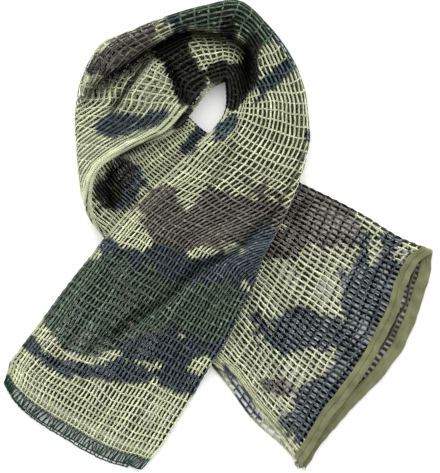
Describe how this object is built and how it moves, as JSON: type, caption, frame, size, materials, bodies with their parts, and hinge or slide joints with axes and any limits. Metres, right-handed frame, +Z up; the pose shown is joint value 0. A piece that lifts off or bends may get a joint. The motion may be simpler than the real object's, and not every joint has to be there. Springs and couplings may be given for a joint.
{
  "type": "camouflage net scarf",
  "caption": "Open-mesh camouflage scarf folded once lengthwise and laid out flat as one loop round a neck hole, with its two ends crossed below.",
  "frame": {"origin": "middle of the footprint, on the surface that the scarf lies on", "axes": "+Z up, away from that surface; +Y from the two crossed ends towards the top of the loop; +X towards the bound end"},
  "size_m": [0.8028, 0.8626, 0.0454],
  "materials": {
    "net_cloth": "matt knitted cotton net, dyed in olive, brown, dark green and navy patches",
    "binding_tape": "matt woven olive cotton tape"
  },
  "bodies": {
    "root": {"net": "net_cloth", "end_binding": "binding_tape"}
  },
  "joints": []
}
